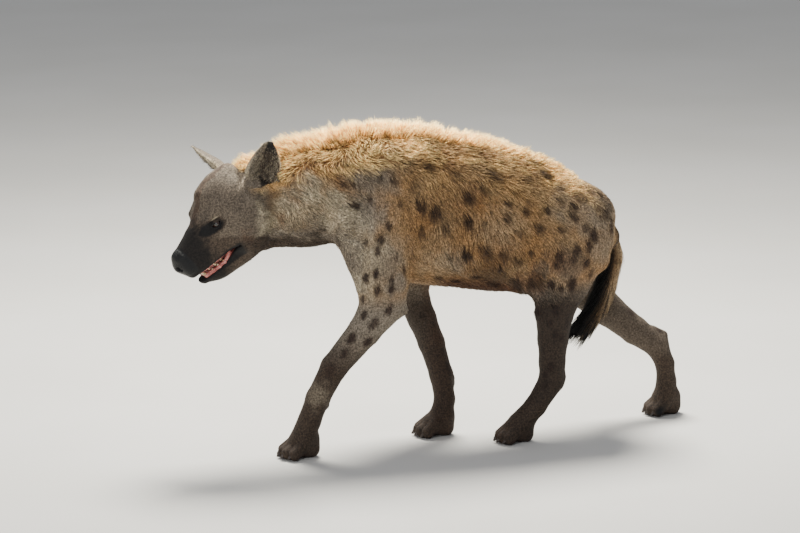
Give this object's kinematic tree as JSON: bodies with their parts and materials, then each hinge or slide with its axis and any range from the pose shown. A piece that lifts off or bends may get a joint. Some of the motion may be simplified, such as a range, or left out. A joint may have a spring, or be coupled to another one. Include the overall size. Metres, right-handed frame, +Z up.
{
  "type": "spotted hyena",
  "caption": "Life-size still model of a spotted hyena walking with lowered head, mouth slightly open, short crest of mane along neck and back, tail hanging, standing on its four paws.",
  "frame": {"origin": "on the floor under the middle of the animal's bounding box", "axes": "-X towards the head, -Y towards the animal's left side, +Z up from the floor"},
  "size_m": [1.39, 0.3156, 0.8342],
  "materials": {
    "head_coat": "short matt fur, grey brown",
    "lip_coat": "dark short fur and lip skin",
    "nose_skin": "moist pebbled skin",
    "tongue_skin": "moist pink",
    "ear_coat": "thin fur over skin",
    "eye": "glossy dark brown",
    "mane_hair": "long coarse hair, golden cream",
    "body_coat": "shaggy matt fur with dark spots",
    "tail_hair": "long bushy hair, brown over black",
    "leg_coat": "short fur, grey brown to dark brown",
    "paw_coat": "short dark fur with dark claws"
  },
  "bodies": {
    "root": {"head": "head_coat", "lower_jaw": "lip_coat", "tongue": "tongue_skin", "nose": "nose_skin", "ear_left": "ear_coat", "ear_right": "ear_coat", "eye_left": "eye", "eye_right": "eye", "mane": "mane_hair", "neck": "body_coat", "torso": "body_coat", "tail": "tail_hair", "leg_front_left": "leg_coat", "leg_front_right": "leg_coat", "leg_hind_left": "leg_coat", "leg_hind_right": "leg_coat", "paw_front_left": "paw_coat", "paw_front_right": "paw_coat", "paw_hind_left": "paw_coat", "paw_hind_right": "paw_coat"}
  },
  "joints": []
}
